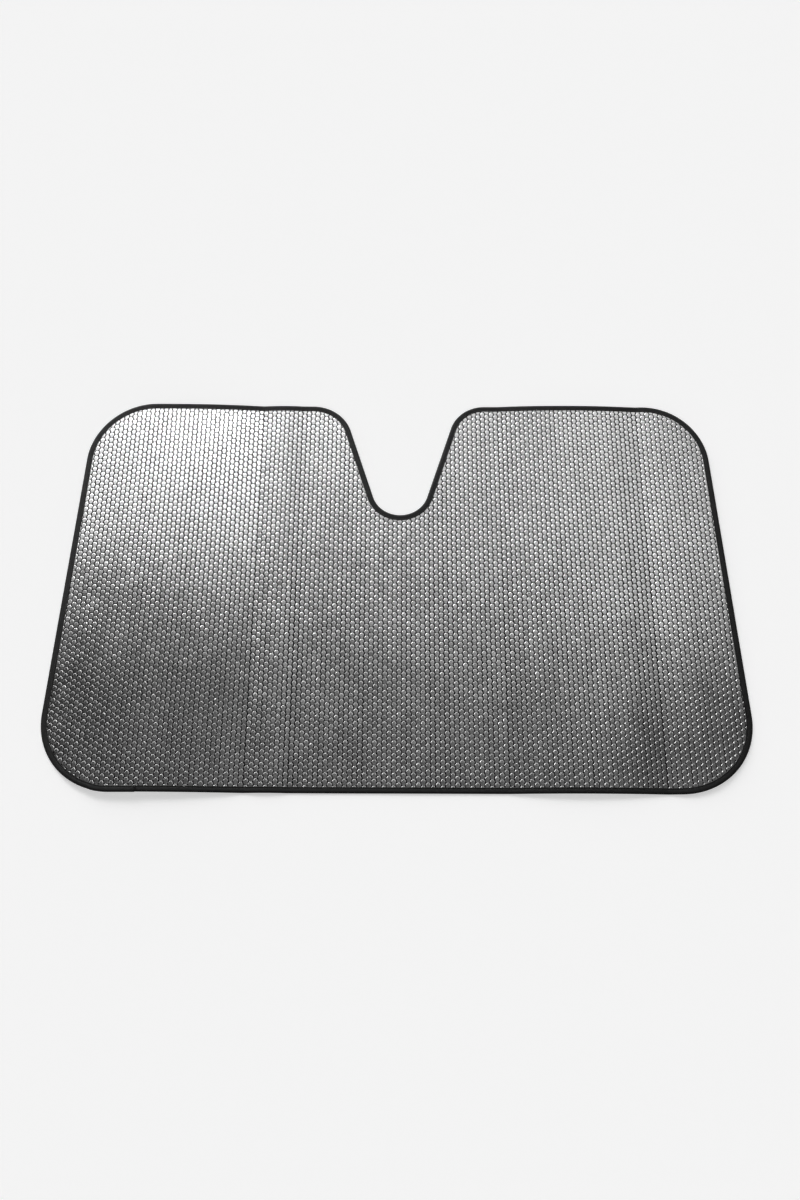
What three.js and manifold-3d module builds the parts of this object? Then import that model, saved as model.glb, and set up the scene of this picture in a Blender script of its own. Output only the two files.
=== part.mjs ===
// Windscreen sunshade: a sheet of silver bubble foil, bound all round with black tape.
// Millimetres, +Z up. The shade lies open on its back, as it comes to rest when it is put down:
// +X runs along its width and +Y towards the mirror notch. The origin lies on the floor, below
// the middle of the outline.

import * as THREE from 'three';
import { mergeVertices } from 'three/addons/utils/BufferGeometryUtils.js';
import Module from 'manifold-3d';

// Outline, over the binding. The sides lean in towards the top edge.
const WIDTH = 1300;
const HEIGHT = 800;
const SIDE_LEAN_DEG = 2.76;
const BOTTOM_CORNER_RADIUS = 139;
const TOP_CORNER_RADIUS = 132;

// Mirror notch: a bell-shaped cut in the top edge, with a round bottom and two soft lips.
const NOTCH_DEPTH = 247.5;
const NOTCH_OFFSET = 5;
const NOTCH_LEAN_DEG = 17.5;
const NOTCH_BOTTOM_RADIUS = 56;
const LEFT_LIP_RADIUS = 81;
const RIGHT_LIP_RADIUS = 72;

// Bubble foil: rows of bubbles stand on a backing film, in columns that run towards the notch.
// Each column is one flat-topped ridge, and the foil is pressed flat where the tape holds it.
const COLUMN_PITCH = 8.83;
const COLUMN_TOP_WIDTH = 5.4;
const COLUMN_HEIGHT = 3.4;
const SEAM_HEIGHT = 1.4;
const PRESSED_THICKNESS = 1.2;

// Stored folds: seams between columns where folding left a valley, counted in columns from the
// middle, and the rise of the leaf between each two of them. The middle leaf lies flat.
const FOLD_SEAMS = [-74, -31, -22, 23, 55, 76];
const LEAF_RISES = [9, 2.2, 0, 6, 4];

// Binding: tape folded over the edge, with its ends lapped at the left of the bottom edge.
const TAPE_WIDTH = 11.5;
const TAPE_THICKNESS = 0.8;
const TAPE_FOLD_RADIUS = 1.2;
const TAPE_END_FROM_SIDE = 185;
const TAPE_END_STEP = 0.4;
const LAP_LENGTH = 75;
const LAP_RAMP = 12;

// Clearance between the foil and the tape around it.
const SEAT_GAP = 0.3;

// How finely the edge is followed.
const STRAIGHT_STEP = 18;
const ARC_STEP = 13;

// Worked out from the sizes above.
const backHeight = TAPE_THICKNESS + SEAT_GAP;
const foilEdgeInset = TAPE_THICKNESS + SEAT_GAP;
const bubbleInset = TAPE_WIDTH + SEAT_GAP;
const tapeEndX = TAPE_END_FROM_SIDE - WIDTH / 2;
const columnReach = Math.ceil(WIDTH / 2 / COLUMN_PITCH) + 1;

const wasm = await Module();
wasm.setup();

// Height of the foil's back above its lowest lie: each leaf between two fold valleys is a low arch.
function leafHeight(x) {
  const seam = x / COLUMN_PITCH;
  const leaf = FOLD_SEAMS.findIndex((start, i) => seam >= start && seam < FOLD_SEAMS[i + 1]);
  if (leaf < 0) {
    return 0;
  }
  const share = (seam - FOLD_SEAMS[leaf]) / (FOLD_SEAMS[leaf + 1] - FOLD_SEAMS[leaf]);
  return 4 * LEAF_RISES[leaf] * share * (1 - share);
}

// The outline's corner points, counter-clockwise from the bottom left, each with its fillet.
// The notch is one deep point whose fillet is the notch's round bottom. stops are the places
// along X that the straight after a corner must not step over.
function outlineCorners() {
  const sideLean = THREE.MathUtils.degToRad(SIDE_LEAN_DEG);
  const notchLean = THREE.MathUtils.degToRad(NOTCH_LEAN_DEG);
  const bulge = BOTTOM_CORNER_RADIUS * ((1 + Math.sin(sideLean)) / Math.cos(sideLean) - 1);
  const bottomHalf = WIDTH / 2 + bulge;
  const topHalf = bottomHalf - HEIGHT * Math.tan(sideLean);
  const notchPoint = NOTCH_DEPTH + NOTCH_BOTTOM_RADIUS * (1 / Math.sin(notchLean) - 1);
  const mouthHalf = notchPoint * Math.tan(notchLean);
  const top = HEIGHT / 2;
  const folds = FOLD_SEAMS.map((seam) => seam * COLUMN_PITCH);
  const corner = (x, y, radius, stops = folds) => ({ at: new THREE.Vector2(x, y), radius, stops });
  return [
    corner(-bottomHalf, -top, BOTTOM_CORNER_RADIUS, [...folds, tapeEndX, tapeEndX + TAPE_END_STEP]),
    corner(bottomHalf, -top, BOTTOM_CORNER_RADIUS),
    corner(topHalf, top, TOP_CORNER_RADIUS),
    corner(NOTCH_OFFSET + mouthHalf, top, RIGHT_LIP_RADIUS),
    corner(NOTCH_OFFSET, top - notchPoint, NOTCH_BOTTOM_RADIUS),
    corner(NOTCH_OFFSET - mouthHalf, top, LEFT_LIP_RADIUS),
    corner(-topHalf, top, TOP_CORNER_RADIUS),
  ];
}

// The round arc that replaces one corner, as edge points with their inward directions.
function filletPoints(before, corner, after) {
  const towardsBefore = before.at.clone().sub(corner.at).normalize();
  const towardsAfter = after.at.clone().sub(corner.at).normalize();
  const halfAngle = Math.acos(towardsBefore.dot(towardsAfter)) / 2;
  const bisector = towardsBefore.clone().add(towardsAfter).normalize();
  const centre = corner.at.clone().addScaledVector(bisector, corner.radius / Math.sin(halfAngle));
  const tangentLength = corner.radius / Math.tan(halfAngle);
  const start = corner.at.clone().addScaledVector(towardsBefore, tangentLength);
  const turn = Math.sign(towardsAfter.cross(towardsBefore));
  const sweep = turn * (Math.PI - 2 * halfAngle);
  const startAngle = start.sub(centre).angle();
  const steps = Math.ceil((Math.abs(sweep) * corner.radius) / ARC_STEP);
  return Array.from({ length: steps + 1 }, (_, i) => {
    const angle = startAngle + (sweep * i) / steps;
    const outward = new THREE.Vector2(Math.cos(angle), Math.sin(angle));
    const at = centre.clone().addScaledVector(outward, corner.radius);
    return { at, inward: outward.multiplyScalar(-turn) };
  });
}

// Points along a straight, without its two ends, at even steps and at the stops on its way.
function straightPoints(from, to, stops) {
  const steps = Math.ceil(from.distanceTo(to) / STRAIGHT_STEP);
  const even = Array.from({ length: steps - 1 }, (_, i) => (i + 1) / steps);
  const stopped = stops.map((x) => (x - from.x) / (to.x - from.x));
  const shares = [...even, ...stopped].filter((share) => share > 0 && share < 1);
  const inward = new THREE.Vector2(from.y - to.y, to.x - from.x).normalize();
  return shares
    .sort((a, b) => a - b)
    .map((share) => ({ at: from.clone().lerp(to, share), inward }));
}

// The whole edge, counter-clockwise, as points with their inward directions.
function edgePoints() {
  const corners = outlineCorners();
  const count = corners.length;
  const arcs = corners.map((corner, i) =>
    filletPoints(corners[(i + count - 1) % count], corner, corners[(i + 1) % count]));
  return arcs.flatMap((arc, i) => {
    const nextArc = arcs[(i + 1) % count];
    return [...arc, ...straightPoints(arc.at(-1).at, nextArc[0].at, corners[i].stops)];
  });
}

// A closed mesh as a solid for cutting and joining.
function toSolid(geometry) {
  geometry.deleteAttribute('normal');
  geometry.deleteAttribute('uv');
  const merged = mergeVertices(geometry);
  const vertProperties = new Float32Array(merged.attributes.position.array);
  const triVerts = new Uint32Array(merged.index.array);
  return new wasm.Manifold(new wasm.Mesh({ numProp: 3, vertProperties, triVerts }));
}

// A solid back as a mesh geometry.
function toGeometry(solid) {
  const { vertProperties, triVerts } = solid.getMesh();
  const geometry = new THREE.BufferGeometry();
  geometry.setAttribute('position', new THREE.BufferAttribute(vertProperties, 3));
  geometry.setIndex(new THREE.BufferAttribute(triVerts, 1));
  geometry.computeVertexNormals();
  return geometry;
}

// An upright block inside the edge, a given inset in from it, taller than the foil.
function insetBlock(edge, inset) {
  const points = edge.map(({ at, inward }) => at.clone().addScaledVector(inward, inset));
  const reach = COLUMN_HEIGHT + Math.max(...LEAF_RISES) + backHeight;
  const geometry = new THREE.ExtrudeGeometry(new THREE.Shape(points), {
    depth: 3 * reach,
    bevelEnabled: false,
  });
  geometry.translate(0, 0, -reach);
  return toSolid(geometry);
}

// A sheet that follows the leaves from side to side, from its section across the width. The
// section is two lists of points over the foil's back, both from left to right.
function sheet(lowerLine, upperLine) {
  const lift = ([x, height]) => new THREE.Vector2(x, backHeight + leafHeight(x) + height);
  const section = [...lowerLine, ...upperLine.toReversed()].map(lift);
  const geometry = new THREE.ExtrudeGeometry(new THREE.Shape(section), {
    depth: HEIGHT + 2 * TAPE_WIDTH,
    bevelEnabled: false,
  });
  geometry.rotateX(Math.PI / 2);
  geometry.translate(0, HEIGHT / 2 + TAPE_WIDTH, 0);
  return toSolid(geometry);
}

// The foil: a thin pressed sheet that reaches into the binding, and on it the ridged field of
// bubble columns, which ends at the binding's inner edge.
function foilPanel(edge) {
  const seams = Array.from({ length: 2 * columnReach + 1 }, (_, i) => (i - columnReach) * COLUMN_PITCH);
  const lineAt = (height) => seams.map((x) => [x, height]);
  const ridgeLine = seams.flatMap((x) => [
    [x, SEAM_HEIGHT],
    [x + (COLUMN_PITCH - COLUMN_TOP_WIDTH) / 2, COLUMN_HEIGHT],
    [x + (COLUMN_PITCH + COLUMN_TOP_WIDTH) / 2, COLUMN_HEIGHT],
  ]).slice(0, -2);
  const pressed = sheet(lineAt(0), lineAt(PRESSED_THICKNESS)).intersect(insetBlock(edge, foilEdgeInset));
  const bubbles = sheet(lineAt(PRESSED_THICKNESS / 2), ridgeLine).intersect(insetBlock(edge, bubbleInset));
  return toGeometry(pressed.add(bubbles));
}

// The tape's U-shaped section over the pressed foil, as [inset from the edge, height over the
// foil's back]. The outer skin comes first, from the upper inner edge round the fold, and then
// the inner skin. extra thickens the outer skin where the tape's two ends lap.
function tapeSection(extra) {
  const low = -SEAT_GAP - TAPE_THICKNESS;
  const high = PRESSED_THICKNESS + SEAT_GAP + TAPE_THICKNESS + extra;
  const round = TAPE_FOLD_RADIUS;
  const eased = round * (1 - Math.SQRT1_2);
  return [
    [TAPE_WIDTH, high],
    [round, high],
    [eased, high - eased],
    [0, high - round],
    [0, low + round],
    [eased, low + eased],
    [round, low],
    [TAPE_WIDTH, low],
    [TAPE_WIDTH, -SEAT_GAP],
    [TAPE_THICKNESS, -SEAT_GAP],
    [TAPE_THICKNESS, PRESSED_THICKNESS + SEAT_GAP],
    [TAPE_WIDTH, PRESSED_THICKNESS + SEAT_GAP],
  ];
}

// How much of a second layer of tape lies at each edge point: all of it from the tape's free end
// back along the edge, then a short ramp down to one layer.
function lapShares(edge) {
  const end = edge.findIndex(({ at, inward }) => inward.y === 1 && at.x >= tapeEndX - TAPE_END_STEP / 2);
  const shares = new Array(edge.length).fill(0);
  let covered = 0;
  for (let step = 0; covered < LAP_LENGTH + LAP_RAMP; step += 1) {
    const i = (end - step + edge.length) % edge.length;
    const before = (i + edge.length - 1) % edge.length;
    shares[i] = Math.min(1, (LAP_LENGTH + LAP_RAMP - covered) / LAP_RAMP);
    covered += edge[i].at.distanceTo(edge[before].at);
  }
  return shares;
}

// The binding: a closed loft of the tape's section around the whole edge.
function edgeBinding(edge) {
  const lap = lapShares(edge);
  const rings = edge.map(({ at, inward }, i) => {
    const section = tapeSection(lap[i] * TAPE_THICKNESS);
    return section.map(([inset, height]) => {
      const foot = at.clone().addScaledVector(inward, inset);
      return [foot.x, foot.y, backHeight + leafHeight(foot.x) + height];
    });
  });
  const sides = rings[0].length;
  const index = rings.flatMap((_, i) => {
    const here = i * sides;
    const next = ((i + 1) % rings.length) * sides;
    return Array.from({ length: sides }, (_side, j) => {
      const k = (j + 1) % sides;
      return [here + j, here + k, next + k, here + j, next + k, next + j];
    }).flat();
  });
  const geometry = new THREE.BufferGeometry();
  geometry.setAttribute('position', new THREE.Float32BufferAttribute(rings.flat(2), 3));
  geometry.setIndex(index);
  geometry.computeVertexNormals();
  return geometry;
}

function namedMesh(name, geometry, material) {
  const mesh = new THREE.Mesh(geometry, new THREE.MeshStandardMaterial(material));
  mesh.name = name;
  return mesh;
}

const edge = edgePoints();
const sunshade = new THREE.Group();
sunshade.add(
  namedMesh('foil_panel', foilPanel(edge), { color: 0xc9cbcd, metalness: 1, roughness: 0.3 }),
  namedMesh('edge_binding', edgeBinding(edge), { color: 0x1b1b1c, metalness: 0, roughness: 0.85 }),
);

export default sunshade;
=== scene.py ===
import math

import bpy
import numpy as np
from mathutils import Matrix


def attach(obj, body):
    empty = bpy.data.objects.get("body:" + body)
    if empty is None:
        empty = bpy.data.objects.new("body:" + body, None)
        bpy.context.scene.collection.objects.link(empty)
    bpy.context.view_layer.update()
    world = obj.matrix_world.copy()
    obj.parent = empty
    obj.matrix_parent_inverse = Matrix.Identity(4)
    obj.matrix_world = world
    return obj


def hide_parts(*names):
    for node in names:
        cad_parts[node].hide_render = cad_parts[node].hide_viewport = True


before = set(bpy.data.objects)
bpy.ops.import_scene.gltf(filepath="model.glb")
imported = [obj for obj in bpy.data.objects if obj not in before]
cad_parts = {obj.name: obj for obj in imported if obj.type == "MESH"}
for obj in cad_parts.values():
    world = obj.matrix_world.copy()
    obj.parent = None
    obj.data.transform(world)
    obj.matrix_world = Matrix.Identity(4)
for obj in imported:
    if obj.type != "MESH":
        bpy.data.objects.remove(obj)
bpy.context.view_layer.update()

rng = np.random.default_rng(11)

MM = 0.001

# Outline, over the binding, as the solids have it
WIDTH = 1300 * MM
HEIGHT = 800 * MM
SIDE_LEAN = math.radians(2.76)
BOTTOM_CORNER_RADIUS = 139 * MM
TOP_CORNER_RADIUS = 132 * MM
NOTCH_DEPTH = 247.5 * MM
NOTCH_OFFSET = 5 * MM
NOTCH_LEAN = math.radians(17.5)
NOTCH_BOTTOM_RADIUS = 56 * MM
LEFT_LIP_RADIUS = 81 * MM
RIGHT_LIP_RADIUS = 72 * MM

# Bubble lattice: columns run towards the notch, and every other column is half a row further on.
# Columns and the seams between them are counted from the middle.
COLUMN_PITCH = 8.83 * MM
ROW_PITCH = 11.87 * MM
LATTICE_SHIFT = -0.6 * MM
COLUMNS = np.arange(-75, 75)
ROWS = np.arange(-36, 37)
FIRST_SEAM = -80
SEAM_COUNT = 160

# Border points of two cells are one point if they round to the same number of welds. The small
# shift keeps the lattice's even halves away from the place where the rounding turns.
WELD = 0.01 * MM
OFF_HALVES = 0.1

# The laminate's thickness between bubbles, and where the tape presses it flat
VALLEY_THICKNESS = 0.9 * MM
PRESSED_FILM = 0.5 * MM

# Insets from the edge: of the foil's own rim under the tape, of the line where the bubbles are
# crushed flat, of the line where they stand free, and of the outermost bubbles' middles
FOIL_RIM = 2 * MM
CRUSHED_FLAT = 9 * MM
STANDING_FREE = 17 * MM
OUTERMOST_BUBBLE = 4.8 * MM

# One bubble: its height, and its outline as a share of its cell at the flanks, at the slanting
# sides, at the corners of its two ends, and at the joint with the next bubble in its column
BUBBLE_HEIGHT = 2.1 * MM
FLANK_SHARE = 0.64
SIDE_SHARE = 0.86
END_SHARE = 0.93
JOINT_SHARE = 0.97
SIDE_LIFT = 0.1 * MM

# Three rings round each bubble, at its flat top, its shoulder and its foot: share of its outline
# and of its height, the slope of the film, how much painted shade darkens the film there, and how
# much of the bubble's tilt goes into the ring's height and slope
RING_REACH = np.array([0.76, 0.95, 1.0])
RING_HEIGHT = np.array([1.0, 0.87, 0.3])
RING_FALL = np.array([0.02, 0.42, 2.6])
RING_SHADE = np.array([0, 0.2, 1.0])
RING_TILT = np.array([1, 0.9, 0.1])
RING_LEAN = np.array([1, 0.8, 0])

# Painted shade darkens the film in the valleys between bubbles: more at a cell's corners than at the middles
# of its sides, little at a column's joints, and most along the fold valleys
CORNER_SHADE = 1.05
MIDDLE_SHADE = 0.65
JOINT_SHADE = 0.1
FOLD_SHADE = 1.3

# How much one bubble differs from the next
SIZE_SPREAD = 0.015
HEIGHT_SPREAD = 0.06
TILT_SPREAD = 0.009
COLUMN_TILT_SPREAD = 0.014
DIMPLE = 0.01
DIMPLE_SPREAD = 0.03
CREASE_SPREAD = 0.2

# Fold valleys at these column seams, and the rise of the leaf between each two
FOLD_SEAMS = np.array([-74, -31, -22, 23, 55, 76])
LEAF_RISES = np.array([9, 2.2, 0, 6, 4]) * MM
RIPPLE = 0.12 * MM

# How far the bubble tops lean towards the bottom edge, in thousandths. One row for each strip
# of columns, whose middle seam comes first, then the lean at each of these heights. The leans
# were first worked out by a program from the light and dark areas of the photographed foil,
# then rounded and changed.
LEAN_HEIGHTS = np.array([-360, -180, -30, 150, 380]) * MM
STRIP_LEANS = np.array([
    [-72, 0, 28, 4, -36, -15],
    [-60, 17, 37, 22, -28, -50],
    [-48, 18, 36, 12, -38, -66],
    [-36, 28, 41, 6, -56, -92],
    [-31.4, 28, 41, 6, -56, -100],
    [-30.6, 0, 3, 4, -2, -4],
    [-15, 1, 11, 12, 6, -8],
    [5, 2, 7, 6, 3, 12],
    [30, 5, 7, 1, 5, 46],
    [43, 0, -13, -23, -14, 10],
    [52, 22, -14, -37, -22, 12],
    [64, 56, 8, -18, -11, 54],
])

# The foil's mesh is cut at these column seams, the fold valleys among them
SECTION_SEAMS = [-76, -53, -31, -8, 23, 39, 55, 76]

# Binding tape, with the place of its free end and the lap behind it
TAPE_THICKNESS = 0.8 * MM
SEAT_GAP = 0.3 * MM
BACK_HEIGHT = TAPE_THICKNESS + SEAT_GAP
TAPE_END_X = 185 * MM - WIDTH / 2
TAPE_END_STEP = 0.4 * MM
LAP_LENGTH = 75 * MM
LAP_RAMP = 12 * MM

# The tape's section over the pressed foil, in millimetres: inset from the edge, and height over
# the foil's back. The outer skin comes first, from the upper inner edge round the fold, with a
# dent where the seam pulls the tape down on either face.
TAPE_SECTION = np.array([
    [11.50, 1.74], [11.34, 2.06], [10.60, 2.16], [9.50, 2.06], [8.60, 1.84], [7.70, 2.06],
    [6.20, 2.24], [4.40, 2.30], [2.70, 2.24], [1.40, 1.94], [0.50, 1.40], [0.00, 0.60],
    [0.30, -0.20], [1.10, -0.80], [2.70, -1.08], [7.60, -1.08], [8.60, -0.82], [9.60, -1.08],
    [11.00, -1.06], [11.50, -0.70], [11.20, -0.32], [1.40, -0.30], [0.90, 0.10], [0.90, 1.10],
    [1.40, 1.50], [11.20, 1.50],
]) * MM
UPPER_DENT = 4
FOLD = 11
UPPER_SKIN = 12
LOWER_DENT = 16
OUTER_SKIN = 20

# One stitch, from where the thread comes up to where it goes down: share of the pitch, height over
# the seam's dent, and half thickness
STITCH_LINE = 8.6 * MM
STITCH_PITCH = 4 * MM
STITCH_SHARES = np.array([0.06, 0.26, 0.64, 0.84])
STITCH_RISE = np.array([-0.14, 0.2, 0.2, -0.14]) * MM
STITCH_THICKNESS = np.array([0.2, 0.26, 0.26, 0.2]) * MM
STITCH_SIDES = 4
LOWER_SEAM_SINK = 0.08 * MM


def make_mesh(name, vertices, face_groups, material, normals=None, marks=None, flat_map=None):
    """A mesh object from an array of points and groups of faces, each group an array of equal corners.

    marks are numbers kept at each point, and flat_map is each face corner's place on the flat cloth.
    """
    mesh = bpy.data.meshes.new(name)
    loops = np.concatenate([g.ravel() for g in face_groups]).astype(np.int32)
    sizes = np.concatenate([np.full(len(g), g.shape[1]) for g in face_groups])
    starts = np.concatenate([[0], np.cumsum(sizes)[:-1]]).astype(np.int32)
    mesh.vertices.add(len(vertices))
    mesh.vertices.foreach_set("co", np.asarray(vertices, np.float32).ravel())
    mesh.loops.add(len(loops))
    mesh.loops.foreach_set("vertex_index", loops)
    mesh.polygons.add(len(sizes))
    mesh.polygons.foreach_set("loop_start", starts)
    mesh.polygons.foreach_set("use_smooth", np.ones(len(sizes), bool))
    mesh.update(calc_edges=True)
    mesh.validate()
    if normals is not None:
        mesh.normals_split_custom_set_from_vertices(normals)
    for key, values in (marks or {}).items():
        mesh.attributes.new(key, "FLOAT", "POINT").data.foreach_set("value", values.astype(np.float32))
    if flat_map is not None:
        mesh.uv_layers.new(name="flat_map").data.foreach_set("uv", flat_map.astype(np.float32).ravel())
    piece = bpy.data.objects.new(name, mesh)
    bpy.context.collection.objects.link(piece)
    mesh.materials.append(material)
    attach(piece, "root")
    return piece


def smooth_step(low, high, value):
    """0 below low, 1 above high, and a cubic ease between them."""
    share = np.clip((value - low) / (high - low), 0, 1)
    return share * share * (3 - 2 * share)


def running_length(points):
    """The length along a closed line of points, up to each of them and back to the first."""
    steps = np.diff(points, axis=0, append=points[:1])
    return np.concatenate([[0], np.cumsum(np.linalg.norm(steps, axis=1))])


def outline_corners():
    """The outline's corner points, counter-clockwise from the bottom left, each with its fillet radius."""
    bulge = BOTTOM_CORNER_RADIUS * ((1 + math.sin(SIDE_LEAN)) / math.cos(SIDE_LEAN) - 1)
    bottom_half = WIDTH / 2 + bulge
    top_half = bottom_half - HEIGHT * math.tan(SIDE_LEAN)
    notch_point = NOTCH_DEPTH + NOTCH_BOTTOM_RADIUS * (1 / math.sin(NOTCH_LEAN) - 1)
    mouth_half = notch_point * math.tan(NOTCH_LEAN)
    top = HEIGHT / 2
    points = np.array([
        [-bottom_half, -top],
        [bottom_half, -top],
        [top_half, top],
        [NOTCH_OFFSET + mouth_half, top],
        [NOTCH_OFFSET, top - notch_point],
        [NOTCH_OFFSET - mouth_half, top],
        [-top_half, top],
    ])
    radii = np.array([
        BOTTOM_CORNER_RADIUS,
        BOTTOM_CORNER_RADIUS,
        TOP_CORNER_RADIUS,
        RIGHT_LIP_RADIUS,
        NOTCH_BOTTOM_RADIUS,
        LEFT_LIP_RADIUS,
        TOP_CORNER_RADIUS,
    ])
    return points, radii


def edge_path(step):
    """Points along the whole edge, counter-clockwise, with their inward directions.

    Each corner is an arc of its fillet radius about a centre on the corner's bisector, and the
    straights between arcs are evenly divided.
    """
    corners, radii = outline_corners()
    arcs = []
    for i, (corner, radius) in enumerate(zip(corners, radii)):
        before = corners[i - 1] - corner
        after = corners[(i + 1) % len(corners)] - corner
        before /= np.linalg.norm(before)
        after /= np.linalg.norm(after)
        half_angle = math.acos(before @ after) / 2
        bisector = (before + after) / np.linalg.norm(before + after)
        centre = corner + bisector * radius / math.sin(half_angle)
        start = corner + before * radius / math.tan(half_angle) - centre
        turn = np.sign(after[0] * before[1] - after[1] * before[0])
        sweep = turn * (math.pi - 2 * half_angle)
        count = max(6, math.ceil(abs(sweep) * radius / step))
        angles = math.atan2(start[1], start[0]) + sweep * np.arange(count + 1) / count
        outward = np.stack([np.cos(angles), np.sin(angles)], 1)
        arcs.append((centre + radius * outward, -turn * outward))
    points, inward = [], []
    for i, (arc_points, arc_inward) in enumerate(arcs):
        start = arc_points[-1]
        run = arcs[(i + 1) % len(arcs)][0][0] - start
        count = math.ceil(np.linalg.norm(run) / step)
        shares = np.arange(1, count)[:, None] / count
        normal = np.array([-run[1], run[0]]) / np.linalg.norm(run)
        points += [arc_points, start + shares * run]
        inward += [arc_inward, np.tile(normal, (count - 1, 1))]
    return np.concatenate(points), np.concatenate(inward)


def edge_inset(xy):
    """How far each point lies inside the outline, and the inward direction at the nearest edge point.

    The distance is taken to the nearest edge sample, along that sample's inward direction.
    """
    points, inward = edge_path(4 * MM)
    nearest = np.empty(len(xy), int)
    for start in range(0, len(xy), 4000):
        part = slice(start, start + 4000)
        gaps = ((xy[part, None, :] - points[None]) ** 2).sum(2)
        nearest[part] = gaps.argmin(1)
    inset = ((xy - points[nearest]) * inward[nearest]).sum(1)
    return inset, inward[nearest]


def leaf_height(x):
    """The low arch of each leaf between two fold valleys: four times its rise times share times rest."""
    seam = x / COLUMN_PITCH
    leaf = np.clip(np.searchsorted(FOLD_SEAMS, seam, side="right") - 1, 0, len(LEAF_RISES) - 1)
    share = (seam - FOLD_SEAMS[leaf]) / (FOLD_SEAMS[leaf + 1] - FOLD_SEAMS[leaf])
    return 4 * LEAF_RISES[leaf] * np.clip(share * (1 - share), 0, None)


def lie(x, y):
    """Height of the foil's back over the floor: the tape under it, the leaves' arches, and a soft ripple.

    The ripple is a sum of three slow sine waves, each bent by another, and never goes below the tape.
    """
    ripple = (
        np.sin(x * 23 + 1.3 * np.sin(y * 9)) * np.sin(y * 14 + 0.8)
        + 0.7 * np.sin(x * 41 - y * 12 + 2.0)
        + 0.6 * np.sin(y * 31 + 2 * np.sin(x * 11))
    )
    return BACK_HEIGHT + leaf_height(x) + RIPPLE * (ripple + 2.3)


def lie_slope(x, y):
    """How fast the lie rises along x and along y, from heights a short step apart."""
    step = 0.5 * MM
    along_x = (lie(x + step, y) - lie(x - step, y)) / (2 * step)
    along_y = (lie(x, y + step) - lie(x, y - step)) / (2 * step)
    return np.stack([along_x, along_y], -1)


def lattice():
    """Column number and centre of every bubble whose cell reaches the visible foil."""
    column, row = np.meshgrid(COLUMNS, ROWS, indexing="ij")
    x = (column + 0.5) * COLUMN_PITCH
    y = (row + 0.5 * ((column + 1) % 2)) * ROW_PITCH + LATTICE_SHIFT
    centres = np.stack([x.ravel(), y.ravel()], 1)
    inset, _ = edge_inset(centres)
    kept = inset > OUTERMOST_BUBBLE
    return column.ravel()[kept], centres[kept]


def cell_corners():
    """The bubble's cell, the hexagon halfway to its neighbours, with the middle of each side."""
    near = (COLUMN_PITCH**2 - ROW_PITCH**2 / 4) / (2 * COLUMN_PITCH)
    far = COLUMN_PITCH - near
    half = ROW_PITCH / 2
    hexagon = np.array([[far, 0], [near, half], [-near, half], [-far, 0], [-near, -half], [near, -half]])
    middles = (hexagon + np.roll(hexagon, -1, 0)) / 2
    return np.stack([hexagon, middles], 1).reshape(12, 2)


def bubble_foot():
    """The bubble's own outline: its cell drawn in, most at the flanks, so that it is nearly oblong."""
    quarter = [FLANK_SHARE, SIDE_SHARE, END_SHARE]
    share = np.array([*quarter, JOINT_SHARE, *quarter[::-1]])
    return cell_corners() * np.concatenate([share[:-1], share[:-1]])[:, None]


def joint_height(y):
    """How much of its height a bubble keeps where it joins the next one in its column.

    Towards the bottom edge the columns were squeezed in folding, and their bubbles run together.
    """
    return 0.62 + 0.3 * smooth_step(-50 * MM, -250 * MM, y)


def top_lean(centres):
    """The lean of each bubble's top along y: between strips and between heights it changes evenly."""
    seam = centres[:, 0] / COLUMN_PITCH
    by_strip = np.array([np.interp(centres[:, 1], LEAN_HEIGHTS, row[1:]) for row in STRIP_LEANS])
    middle = STRIP_LEANS[:, 0]
    right = np.clip(np.searchsorted(middle, seam), 1, len(middle) - 1)
    share = np.clip((seam - middle[right - 1]) / (middle[right] - middle[right - 1]), 0, 1)
    bubble = np.arange(len(centres))
    lean = by_strip[right - 1, bubble] * (1 - share) + by_strip[right, bubble] * share
    return lean / 1000


def bubble_film(column, centres):
    """The points of each bubble, its middle and three rings of twelve: place, lift, slope and painted shade.

    A ring lies at its share of the bubble's outline, from the middle outwards. Its lift is its share
    of the bubble's height, filled up where the bubble joins the next in its column, plus the tilt
    times the way from the middle. Its slope is the tilt less the ring's fall outwards.
    """
    count = len(centres)
    foot = bubble_foot()
    outward = foot / np.linalg.norm(foot, axis=1)[:, None]
    size = rng.normal(1, SIZE_SPREAD, count)
    height = BUBBLE_HEIGHT * rng.normal(1, HEIGHT_SPREAD, count)
    tilt = rng.normal(0, TILT_SPREAD, (count, 2)) + column_tilt[column - FIRST_SEAM][:, None] * [1, 0]
    tilt[:, 1] += top_lean(centres)
    dimple = rng.normal(DIMPLE, DIMPLE_SPREAD, count)
    crease = 1 + rng.normal(0, CREASE_SPREAD, (count, 3, 12, 1))

    reach = size[:, None, None, None] * RING_REACH[None, :, None, None] * foot
    place = centres[:, None, None, :] + reach
    joined = np.abs(outward[:, 1]) ** 8
    kept = joint_height(centres[:, 1])[:, None, None] * joined
    drop = (1 - RING_HEIGHT[:, None]) * (1 - kept)
    lean = (reach * tilt[:, None, None, :]).sum(3) * RING_TILT[:, None]
    lift = height[:, None, None] * (1 - drop) + lean
    fall = RING_FALL[:, None, None] * outward * crease * (1 - kept)[..., None]
    slope = tilt[:, None, None, :] * RING_LEAN[:, None, None] - fall
    # Painted shade at each ring point: none on the flat top, most at the foot, and none where the bubble
    # joins the next in its column
    valley_shade = np.outer(RING_SHADE, (1 - joined) * corner_shade())

    xy = np.concatenate([centres, place.reshape(-1, 2)])
    lift = np.concatenate([height * (1 - dimple), lift.ravel()])
    slope = np.concatenate([tilt, slope.reshape(-1, 2)])
    valley_shade = np.concatenate([np.zeros(count), np.tile(valley_shade.ravel(), count)])
    return xy, lift, slope, valley_shade


def corner_shade():
    """How much painted shade darkens the film at each of the cell's twelve points, corners and middles in
    turn.
    """
    return np.where(np.arange(12) % 2, MIDDLE_SHADE, CORNER_SHADE)


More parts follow.
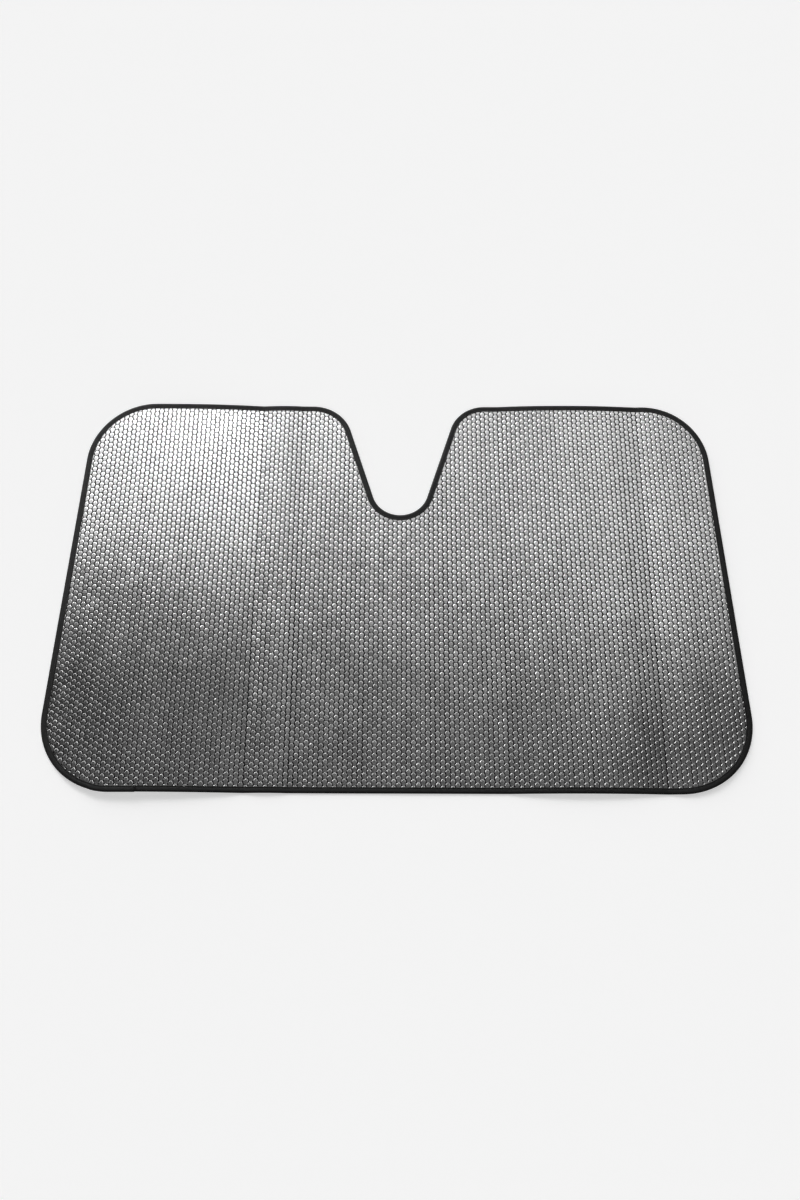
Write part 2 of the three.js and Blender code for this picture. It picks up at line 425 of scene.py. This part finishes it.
def cell_borders(centres):
    """The points on the cells' borders, shared where cells meet: place, lift, painted shade and each cell's
    twelve.

    A column's joints stand as high as the bubbles keep there, and the rest lies in the valleys.
    """
    border = (centres[:, None, :] + cell_corners()).reshape(-1, 2)
    key = np.round(border / WELD + OFF_HALVES).astype(np.int64)
    _, first, shared = np.unique(key, axis=0, return_index=True, return_inverse=True)
    xy = border[first]
    point = first % 12
    is_joint = np.isin(point, [3, 9])
    is_side_middle = (point % 2 == 1) & ~is_joint
    lift = joint_height(xy[:, 1]) * BUBBLE_HEIGHT * is_joint + SIDE_LIFT * is_side_middle
    # Painted shade in the valleys at the border points, light at a column's joints
    valley_shade = np.where(is_joint, JOINT_SHADE, corner_shade()[point])
    return xy, lift, valley_shade, shared.reshape(len(centres), 12)


def shell_faces(shared, top_count):
    """The faces of one section: each bubble's fan and walls, the back's cells, and the skirt between.

    The top has each bubble's middle, then all rings, then the borders, and the back repeats the
    borders. The skirt joins top to back along each border side that only one cell uses.
    """
    count = len(shared)
    middle = np.arange(count)
    rings = count + np.arange(count * 36).reshape(count, 3, 12)
    rim = count * 37 + shared
    under = top_count + shared
    turn = np.roll(np.arange(12), -1)
    fan = np.stack([np.repeat(middle[:, None], 12, 1), rings[:, 0], rings[:, 0][:, turn]], 2).reshape(-1, 3)
    levels = [rings[:, 0], rings[:, 1], rings[:, 2], rim]
    walls = [
        np.stack([inner, outer, outer[:, turn], inner[:, turn]], 2).reshape(-1, 4)
        for inner, outer in zip(levels[:-1], levels[1:])
    ]
    sides = np.stack([shared, shared[:, turn]], 2).reshape(-1, 2)
    _, first_side, uses = np.unique(np.sort(sides, 1), axis=0, return_index=True, return_counts=True)
    start, end = sides[first_side[uses == 1]].T
    skirt = np.stack([count * 37 + end, count * 37 + start, top_count + start, top_count + end], 1)
    return [fan, *walls, skirt, under[:, ::-1]]


def foil_section(name, column, centres, low_seam, high_seam, material):
    """One stretch of the foil as a closed shell of bubble cells.

    The top's height is the lie, plus the film's thickness, plus the lift over the valleys, which
    fades to nothing where the tape crushes the bubbles. The back is the lie itself.
    """
    mine = (column >= low_seam) & (column < high_seam)
    film_xy, film_lift, film_slope, film_shade = bubble_film(column[mine], centres[mine])
    border_xy, border_lift, border_shade, shared = cell_borders(centres[mine])
    xy = np.concatenate([film_xy, border_xy])
    lift = np.concatenate([film_lift, border_lift])
    slope = np.concatenate([film_slope, np.zeros(border_xy.shape)])
    inset, inward = edge_inset(xy)
    free = smooth_step(CRUSHED_FLAT, STANDING_FREE, inset)
    outside = inset < FOIL_RIM
    xy[outside] += inward[outside] * (FOIL_RIM - inset[outside])[:, None]
    back = lie(xy[:, 0], xy[:, 1])
    height = back + PRESSED_FILM + (VALLEY_THICKNESS - PRESSED_FILM + lift) * free
    top = np.column_stack([xy, height])
    bottom = np.column_stack([xy, back])[-len(border_xy):]

    slope = slope * free[:, None] + lie_slope(xy[:, 0], xy[:, 1])
    upward = np.column_stack([-slope, np.ones(len(slope))])
    upward /= np.linalg.norm(upward, axis=1)[:, None]
    normals = np.concatenate([upward, np.tile([0, 0, -1], (len(bottom), 1))])
    # The painted shade is darkest along the fold valleys and differs from seam to seam; the back has none
    shade_at_seam = seam_shade[np.round(xy[:, 0] / COLUMN_PITCH).astype(int) - FIRST_SEAM]
    valley_shade = shade_at_seam * np.concatenate([film_shade, border_shade])
    valley_shade = np.concatenate([valley_shade, np.zeros(len(bottom))])
    faces = shell_faces(shared, len(top))
    piece = make_mesh(name, np.concatenate([top, bottom]), faces, material, normals, {"valley_shade": valley_shade})
    return piece


def tape_end(points, inward):
    """The edge point on the bottom edge where the tape's free end lies."""
    on_bottom = inward[:, 1] > 0.999
    return np.argmin(np.where(on_bottom, np.abs(points[:, 0] - TAPE_END_X), 1))


def lap_share(points, inward):
    """How much second layer of tape lies at each edge point: 1 from the free end back, then a ramp to 0."""
    along = running_length(points)
    end = tape_end(points, inward)
    behind = (along[end] - along[:-1]) % along[-1]
    return smooth_step(LAP_LENGTH + LAP_RAMP, LAP_LENGTH, behind)


def edge_binding(material):
    """The tape: its section carried round the edge, thicker where its two ends lap.

    Its flat map runs along the edge in one direction and round the section in the other, in metres.
    """
    points, inward = edge_path(3.3 * MM)
    end = tape_end(points, inward)
    points[end, 0] = TAPE_END_X
    points[end + 1, 0] = TAPE_END_X + TAPE_END_STEP
    layer = TAPE_THICKNESS * lap_share(points, inward)[:, None]
    rings, sides = len(points), len(TAPE_SECTION)
    turn = np.arange(sides)
    inset = TAPE_SECTION[:, 0] - layer * (turn < OUTER_SKIN)
    foot = points[:, None, :] + inset[..., None] * inward[:, None, :]
    height = lie(foot[..., 0], foot[..., 1]) + TAPE_SECTION[:, 1] + layer * (turn < UPPER_SKIN)
    vertices = np.concatenate([foot, height[..., None]], 2).reshape(-1, 3)
    ring, side = np.meshgrid(np.arange(rings), turn, indexing="ij")
    corners = np.stack([
        np.stack([ring, side], -1),
        np.stack([ring, side + 1], -1),
        np.stack([ring + 1, side + 1], -1),
        np.stack([ring + 1, side], -1),
    ], 2).reshape(-1, 4, 2)
    quads = corners[..., 0] % rings * sides + corners[..., 1] % sides
    along = running_length(points)[corners[..., 0]]
    across = running_length(TAPE_SECTION)[corners[..., 1]]
    piece = make_mesh("binding_tape", vertices, [quads], material, flat_map=np.stack([along, across], -1))
    return piece


def sewing_thread(name, dent, upward, material):
    """The seam's stitches on one face of the tape: short arcs of thread, dipping in at both ends.

    Each arc's middle line follows the seam, at the stitch's rise over the dent, and its section is
    an even polygon with the stitch's thickness for a radius.
    """
    points, inward = edge_path(1 * MM)
    line = points + STITCH_LINE * inward
    length = running_length(line)
    count = round(length[-1] / STITCH_PITCH)
    start = np.arange(count)[:, None] * length[-1] / count
    place = start + STITCH_SHARES * STITCH_PITCH
    looped = np.concatenate([line, line[:1]])
    x = np.interp(place, length, looped[:, 0])
    y = np.interp(place, length, looped[:, 1])
    across = np.stack([np.interp(place, length[:-1], inward[:, i]) for i in range(2)], -1)
    layer = TAPE_THICKNESS * np.interp(place, length[:-1], lap_share(points, inward)) * (upward > 0)
    middle = lie(x, y) + dent + layer + upward * STITCH_RISE
    angle = math.tau * (np.arange(STITCH_SIDES) + 0.5) / STITCH_SIDES
    sideways = STITCH_THICKNESS[:, None] * np.cos(angle)
    upwards = STITCH_THICKNESS[:, None] * np.sin(angle)
    foot = np.stack([x, y], -1)[:, :, None] + sideways[None, ..., None] * across[:, :, None]
    height = middle[..., None] + upwards
    vertices = np.concatenate([foot, height[..., None]], 3).reshape(-1, 3)
    sections = len(STITCH_SHARES)
    first = np.arange(count)[:, None, None] * sections * STITCH_SIDES
    section = np.arange(sections - 1)[None, :, None] * STITCH_SIDES
    side = np.arange(STITCH_SIDES)[None, None]
    next_side = (side + 1) % STITCH_SIDES
    here, there = first + section, first + section + STITCH_SIDES
    quads = np.stack([here + side, here + next_side, there + next_side, there + side], -1).reshape(-1, 4)
    last = (sections - 1) * STITCH_SIDES
    caps = np.concatenate([
        first[:, :, 0] + np.arange(STITCH_SIDES)[::-1],
        first[:, :, 0] + last + np.arange(STITCH_SIDES),
    ])
    piece = make_mesh(name, vertices, [quads, caps], material)
    return piece


def node(tree, kind, **values):
    """A node whose named inputs, and otherwise whose settings, have these values."""
    made = tree.nodes.new(kind)
    for key, value in values.items():
        if key in made.inputs:
            made.inputs[key].default_value = value
        else:
            setattr(made, key, value)
    return made


def calculate(tree, operation, *values):
    """A math node on sockets and plain numbers."""
    made = node(tree, "ShaderNodeMath", operation=operation)
    for socket, value in zip(made.inputs, values):
        if isinstance(value, (int, float)):
            socket.default_value = value
        else:
            tree.links.new(value, socket)
    return made.outputs[0]


def ramp(tree, value, low, high, at_low, at_high):
    """A smooth change from one value to another as the input goes from low to high."""
    made = node(tree, "ShaderNodeMapRange", interpolation_type="SMOOTHSTEP")
    made.inputs["From Min"].default_value = low
    made.inputs["From Max"].default_value = high
    made.inputs["To Min"].default_value = at_low
    made.inputs["To Max"].default_value = at_high
    tree.links.new(value, made.inputs["Value"])
    return made.outputs["Result"]


def band(tree, value, rise, fall):
    """1 between two ramps: up from 0 over the first pair of values, and back to 0 over the second."""
    return calculate(tree, "MULTIPLY", ramp(tree, value, *rise, 0, 1), ramp(tree, value, *fall, 1, 0))


def mix_greys(tree, share, first, second):
    """A grey that goes from the first level to the second with the share."""
    made = node(tree, "ShaderNodeMix", data_type="RGBA")
    sockets = {socket.identifier: socket for socket in made.inputs}
    tree.links.new(share, sockets["Factor_Float"])
    sockets["A_Color"].default_value = (first, first, first, 1)
    sockets["B_Color"].default_value = (second, second, second, 1)
    return made.outputs[2]


def surface_material(name):
    """A new material, with its node tree and its surface shader."""
    material = bpy.data.materials.new(name)
    material.use_nodes = True
    return material, material.node_tree, material.node_tree.nodes["Principled BSDF"]


def raise_bumps(tree, shader, height, distance):
    """Small bumps of the surface, as high as the distance where the height is 1."""
    bump = node(tree, "ShaderNodeBump", Strength=1, Distance=distance)
    tree.links.new(height, bump.inputs["Height"])
    tree.links.new(bump.outputs[0], shader.inputs["Normal"])


def foil_material():
    """Bright aluminised film, darkened by painted shade in the valleys between bubbles and along the folds,
    with a fine crinkle and duller patches.
    """
    material, tree, shader = surface_material("aluminised_bubble_film")
    shader.inputs["Metallic"].default_value = 1
    valley_shade = node(tree, "ShaderNodeAttribute", attribute_name="valley_shade")
    # The base colour goes from bright film to near black with the painted shade in the valleys
    tree.links.new(mix_greys(tree, valley_shade.outputs["Fac"], 0.88, 0.03), shader.inputs["Base Color"])
    place = node(tree, "ShaderNodeTexCoord").outputs["Object"]
    crinkle = node(tree, "ShaderNodeTexNoise", Scale=380, Detail=2, Roughness=0.6)
    patches = node(tree, "ShaderNodeTexNoise", Scale=9, Detail=3, Roughness=0.6)
    tree.links.new(place, crinkle.inputs["Vector"])
    tree.links.new(place, patches.inputs["Vector"])
    tree.links.new(ramp(tree, patches.outputs[0], 0.3, 0.7, 0.1, 0.17), shader.inputs["Roughness"])
    raise_bumps(tree, shader, crinkle.outputs[0], 0.2 * MM)
    return material


def weave_group():
    """A plain weave in the flat map, as a height from 0 to 1: threads one way over threads the other."""
    group = bpy.data.node_groups.new("plain_weave", "ShaderNodeTree")
    group.interface.new_socket("Place", in_out="INPUT", socket_type="NodeSocketVector")
    group.interface.new_socket("Threads per metre", in_out="INPUT", socket_type="NodeSocketFloat")
    group.interface.new_socket("Height", in_out="OUTPUT", socket_type="NodeSocketFloat")
    entry = group.nodes.new("NodeGroupInput")
    leave = group.nodes.new("NodeGroupOutput")
    apart = node(group, "ShaderNodeSeparateXYZ")
    group.links.new(entry.outputs["Place"], apart.inputs[0])
    turns = calculate(group, "MULTIPLY", entry.outputs["Threads per metre"], math.pi)
    along = calculate(group, "SINE", calculate(group, "MULTIPLY", apart.outputs[0], turns))
    across = calculate(group, "SINE", calculate(group, "MULTIPLY", apart.outputs[1], turns))
    crossing = calculate(group, "MULTIPLY", along, across)
    group.links.new(calculate(group, "MULTIPLY_ADD", crossing, 0.5, 0.5), leave.inputs["Height"])
    return group


def tape_material():
    """Matt black woven tape: dusty in patches, worn paler on the fold, and puckered along its seam."""
    material, tree, shader = surface_material("black_binding_tape")
    shader.inputs["Specular IOR Level"].default_value = 0.35
    place = node(tree, "ShaderNodeUVMap", uv_map="flat_map").outputs[0]
    apart = node(tree, "ShaderNodeSeparateXYZ")
    tree.links.new(place, apart.inputs[0])
    along, across = apart.outputs[:2]
    weave = node(tree, "ShaderNodeGroup", node_tree=weave_group())
    weave.inputs["Threads per metre"].default_value = 1500
    tree.links.new(place, weave.inputs["Place"])
    dust = node(tree, "ShaderNodeTexNoise", Scale=60, Detail=4, Roughness=0.65)
    tree.links.new(place, dust.inputs["Vector"])

    section_length = running_length(TAPE_SECTION)
    from_fold = calculate(tree, "ABSOLUTE", calculate(tree, "SUBTRACT", across, section_length[FOLD]))
    worn = ramp(tree, from_fold, 0, 1.6 * MM, 0.5, 0)
    from_seam = calculate(tree, "ABSOLUTE", calculate(tree, "SUBTRACT", across, section_length[UPPER_DENT]))
    beside_seam = ramp(tree, from_seam, 0.3 * MM, 2.2 * MM, 1, 0)
    pull = calculate(tree, "SINE", calculate(tree, "MULTIPLY", along, math.tau / STITCH_PITCH))
    pucker = calculate(tree, "MULTIPLY", pull, beside_seam)

    paler = calculate(tree, "MULTIPLY", dust.outputs[0], calculate(tree, "ADD", worn, 0.7))
    tree.links.new(mix_greys(tree, paler, 0.002, 0.008), shader.inputs["Base Color"])
    tree.links.new(ramp(tree, dust.outputs[0], 0.3, 0.7, 0.46, 0.6), shader.inputs["Roughness"])
    height = calculate(tree, "MULTIPLY_ADD", pucker, 0.9, weave.outputs["Height"])
    raise_bumps(tree, shader, height, 0.08 * MM)
    return material


def thread_material():
    """Black sewing thread, with the slanting ridges of its twist."""
    material, tree, shader = surface_material("black_sewing_thread")
    shader.inputs["Roughness"].default_value = 0.42
    place = node(tree, "ShaderNodeTexCoord").outputs["Object"]
    twist = node(tree, "ShaderNodeTexWave", Scale=1400, Distortion=1, bands_direction="DIAGONAL")
    tree.links.new(place, twist.inputs["Vector"])
    tree.links.new(mix_greys(tree, twist.outputs["Fac"], 0.008, 0.022), shader.inputs["Base Color"])
    raise_bumps(tree, shader, twist.outputs["Fac"], 0.05 * MM)
    return material


def camera():
    """The photograph's view: from in front and above, tilted back by the view angle."""
    data = bpy.data.cameras.new("camera")
    data.sensor_width = 36
    data.lens = 33
    data.clip_start = 0.01
    data.clip_end = 100
    made = bpy.data.objects.new("camera", data)
    made.location = (8.4 * MM, -812.5 * MM, 1949 * MM)
    made.rotation_euler = (math.radians(21.95), 0, math.radians(0.208))
    bpy.context.collection.objects.link(made)
    bpy.context.scene.camera = made


def studio():
    """A broad soft box and a small lamp beyond the top edge, in a room that is dark overhead.

    Low walls behind the camera and at the sides light the shade for views from there. x, y and z
    are the parts of the direction that the light comes from. Only the camera sees the pale
    background: the foil reflects these lights and the dark room instead.
    """
    bpy.context.scene.view_settings.view_transform = "Standard"
    world = bpy.data.worlds.new("studio")
    bpy.context.scene.world = world
    world.use_nodes = True
    tree = world.node_tree
    tree.nodes.clear()
    coordinate = node(tree, "ShaderNodeTexCoord")
    direction = node(tree, "ShaderNodeSeparateXYZ")
    tree.links.new(coordinate.outputs["Generated"], direction.inputs[0])
    x, y, z = direction.outputs

    lift = calculate(tree, "SUBTRACT", y, ramp(tree, x, -0.2, 0.1, 0.06, 0))
    rising = ramp(tree, lift, 0.17, 0.82, 0, 1.4)
    falling = ramp(tree, y, 0.8, 0.97, 1, 0.3)
    breadth = ramp(tree, x, -0.2, 0, 1.3, 0.86)
    right_end = ramp(tree, x, 0.3, 0.7, 1, 0.2)
    tall = calculate(tree, "MULTIPLY", rising, falling)
    soft_box = calculate(tree, "MULTIPLY", tall, calculate(tree, "MULTIPLY", breadth, right_end))

    lamp_height = band(tree, y, (0.64, 0.7), (0.8, 0.87))
    lamp_width = band(tree, x, (-0.76, -0.58), (-0.1, 0.06))
    lamp = calculate(tree, "MULTIPLY", calculate(tree, "MULTIPLY", lamp_height, lamp_width), 6)

    dark_room = ramp(tree, calculate(tree, "ABSOLUTE", x), 0.1, 0.6, 0.072, 0.016)
    low_wall = calculate(tree, "MULTIPLY", ramp(tree, z, 0.2, 0.45, 0.6, 0), ramp(tree, y, -0.1, 0.25, 1, 0))
    ceiling = calculate(tree, "MULTIPLY", ramp(tree, z, 0.7, 0.95, 0, 0.16), ramp(tree, y, -0.02, 0.12, 1, 0))
    ceiling = calculate(tree, "MULTIPLY", ceiling, ramp(tree, x, -0.25, 0.1, 0, 1))

    light = soft_box
    for part in (lamp, dark_room, low_wall, ceiling):
        light = calculate(tree, "ADD", light, part)

    path = node(tree, "ShaderNodeLightPath")
    seen = node(tree, "ShaderNodeMix", data_type="FLOAT")
    tree.links.new(path.outputs["Is Camera Ray"], seen.inputs[0])
    tree.links.new(light, seen.inputs[2])
    seen.inputs[3].default_value = 0.905
    background = node(tree, "ShaderNodeBackground", Color=(1, 1, 1, 1))
    output = node(tree, "ShaderNodeOutputWorld")
    tree.links.new(seen.outputs[0], background.inputs["Strength"])
    tree.links.new(background.outputs["Background"], output.inputs["Surface"])


def floor():
    """A pale floor that keeps the shade's shadow, and glows towards the camera and the foil alone."""
    mesh = bpy.data.meshes.new("floor")
    mesh.from_pydata([(-8, -8, 0), (8, -8, 0), (8, 8, 0), (-8, 8, 0)], [], [(0, 1, 2, 3)])
    made = bpy.data.objects.new("floor", mesh)
    bpy.context.collection.objects.link(made)
    material = bpy.data.materials.new("pale_floor")
    material.use_nodes = True
    tree = material.node_tree
    tree.nodes.clear()
    path = node(tree, "ShaderNodeLightPath")
    seen = calculate(tree, "MAXIMUM", path.outputs["Is Camera Ray"], path.outputs["Is Glossy Ray"])
    diffuse = node(tree, "ShaderNodeBsdfDiffuse", Color=(0.8, 0.8, 0.8, 1))
    glow = node(tree, "ShaderNodeEmission", Color=(1, 1, 1, 1))
    both = node(tree, "ShaderNodeAddShader")
    output = node(tree, "ShaderNodeOutputMaterial")
    tree.links.new(calculate(tree, "MULTIPLY", seen, 0.5), glow.inputs["Strength"])
    tree.links.new(diffuse.outputs[0], both.inputs[0])
    tree.links.new(glow.outputs[0], both.inputs[1])
    tree.links.new(both.outputs[0], output.inputs["Surface"])
    mesh.materials.append(material)


camera()
studio()
floor()

column_tilt = rng.normal(0, COLUMN_TILT_SPREAD, SEAM_COUNT)
# How much painted shade each column seam gets: it differs at random from seam to seam, and the fold valleys
# get most
seam_shade = rng.uniform(0.7, 1.1, SEAM_COUNT)
seam_shade[FOLD_SEAMS[1:-1] - FIRST_SEAM] = FOLD_SHADE

foil = foil_material()
column, centres = lattice()
for number, (low, high) in enumerate(zip(SECTION_SEAMS[:-1], SECTION_SEAMS[1:]), 1):
    section = foil_section(f"foil_section_{number}", column, centres, low, high, foil)
    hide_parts("foil_panel")

thread = thread_material()
binding = edge_binding(tape_material())
upper_seam = sewing_thread("upper_seam", TAPE_SECTION[UPPER_DENT, 1], 1, thread)
lower_seam = sewing_thread("lower_seam", TAPE_SECTION[LOWER_DENT, 1] + LOWER_SEAM_SINK, -1, thread)
for piece in (binding, upper_seam, lower_seam):
    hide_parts("edge_binding")
